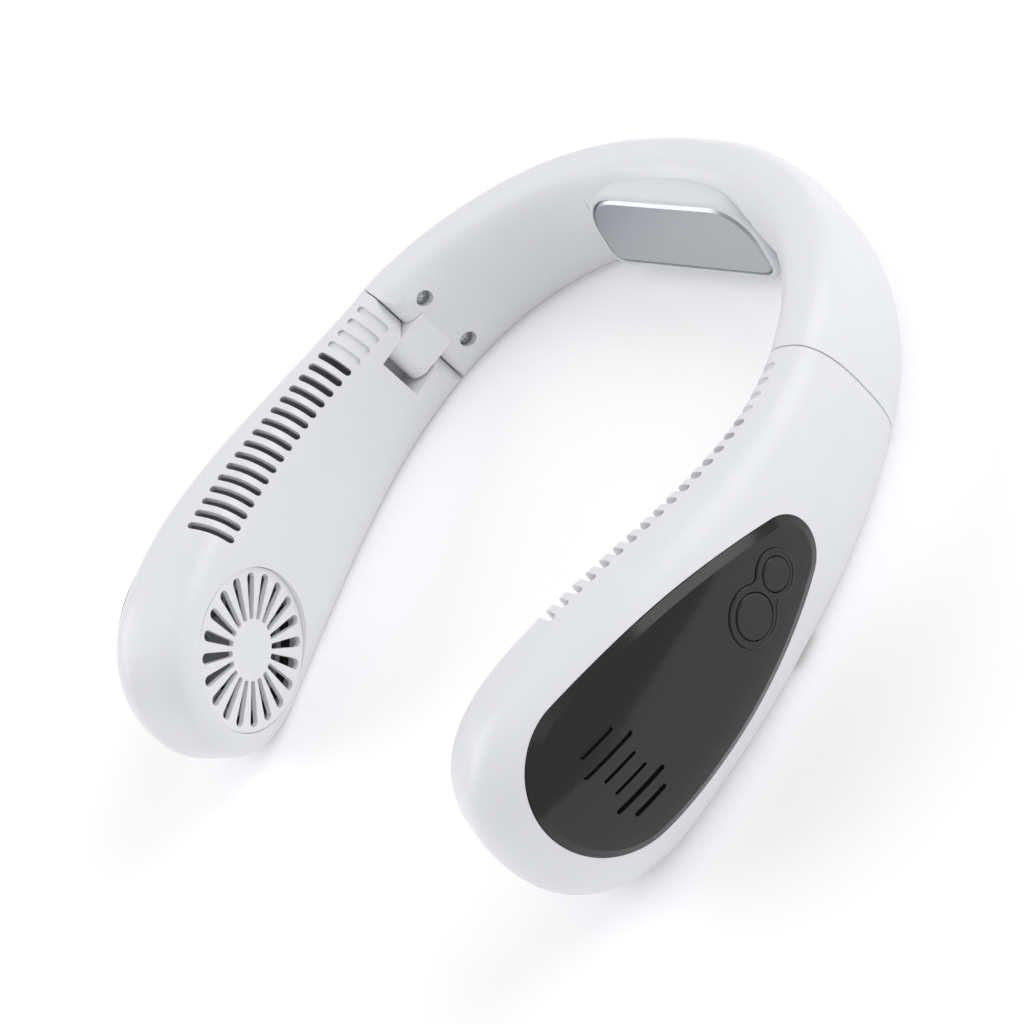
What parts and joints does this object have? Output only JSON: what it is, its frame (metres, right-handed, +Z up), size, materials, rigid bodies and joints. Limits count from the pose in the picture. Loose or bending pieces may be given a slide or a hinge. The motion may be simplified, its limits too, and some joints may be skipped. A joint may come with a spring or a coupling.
{
  "type": "electric neck fan",
  "caption": "Hinged horseshoe neck fan with air slots along its inner top edge, intake grilles at the tips, a cooled plate at the nape and press buttons on a dark side panel.",
  "frame": {"origin": "middle of the bounding box on the surface that the collar rests on", "axes": "+Z up from the rest surface, nape bridge at +Y, arm tips towards -Y, the arm with the buttons at +X"},
  "size_m": [0.202, 0.2049, 0.0588],
  "materials": {
    "white_gloss": "glossy white moulded plastic",
    "black_gloss": "satin-gloss black moulded plastic",
    "plate_metal": "fine blasted metal",
    "ceramic": "matt ceramic",
    "steel": "bright steel",
    "dark_nylon": "matt dark grey plastic",
    "motor_metal": "satin",
    "cell_wrap": "shrink film",
    "board_laminate": "solder mask",
    "switch_plastic": "matt"
  },
  "bodies": {
    "bridge": {"bridge_outer_shell": "white_gloss", "bridge_inner_shell": "white_gloss", "cooling_pad_frame": "white_gloss", "cooling_plate": "plate_metal", "peltier_module": "ceramic", "heat_sink": "plate_metal", "hinge_knuckle_left": "white_gloss", "hinge_knuckle_right": "white_gloss", "hinge_screw_left_upper": "steel", "hinge_screw_left_lower": "steel", "hinge_screw_right_upper": "steel", "hinge_screw_right_lower": "steel"},
    "left_arm": {"arm_outer_shell_left": "white_gloss", "arm_inner_shell_left": "white_gloss", "accent_panel_left": "black_gloss", "intake_grille_left": "white_gloss", "blower_housing_left": "dark_nylon", "fan_motor_left": "motor_metal", "hinge_pin_left": "steel", "battery_cell_left": "cell_wrap", "button_bezel": "black_gloss", "control_board": "board_laminate", "power_switch": "switch_plastic", "cooling_switch": "switch_plastic", "usb_socket": "steel"},
    "right_arm": {"arm_outer_shell_right": "white_gloss", "arm_inner_shell_right": "white_gloss", "accent_panel_right": "black_gloss", "intake_grille_right": "white_gloss", "blower_housing_right": "dark_nylon", "fan_motor_right": "motor_metal", "hinge_pin_right": "steel", "battery_cell_right": "cell_wrap"},
    "left_impeller": {"impeller_left": "dark_nylon"},
    "right_impeller": {"impeller_right": "dark_nylon"},
    "power_button": {"power_button": "black_gloss"},
    "cooling_button": {"cooling_button": "black_gloss"}
  },
  "joints": [
    {"name": "left_hinge", "type": "hinge", "parent": "bridge", "child": "left_arm", "pos_m": [0.07793, 0.02832, 0.021], "axis": [0, 0, -1], "range_deg": [0, 20]},
    {"name": "right_hinge", "type": "hinge", "parent": "bridge", "child": "right_arm", "pos_m": [-0.07793, 0.02832, 0.021], "axis": [0, 0, 1], "range_deg": [0, 20]},
    {"name": "left_impeller_spin", "type": "hinge", "parent": "left_arm", "child": "left_impeller", "pos_m": [0.07737, -0.07369, 0.0293], "axis": [0.9551, -0.2335, 0.1822], "continuous": true},
    {"name": "right_impeller_spin", "type": "hinge", "parent": "right_arm", "child": "right_impeller", "pos_m": [-0.07737, -0.07369, 0.0293], "axis": [-0.9551, -0.2335, 0.1822], "continuous": true},
    {"name": "power_press", "type": "slide", "parent": "left_arm", "child": "power_button", "axis": [-0.9944, -0.0393, -0.0982], "range_m": [0, 0.0004], "stiffness_N_per_m": 2000},
    {"name": "cooling_press", "type": "slide", "parent": "left_arm", "child": "cooling_button", "axis": [-0.9944, -0.0393, -0.0982], "range_m": [0, 0.0004], "stiffness_N_per_m": 2000}
  ]
}
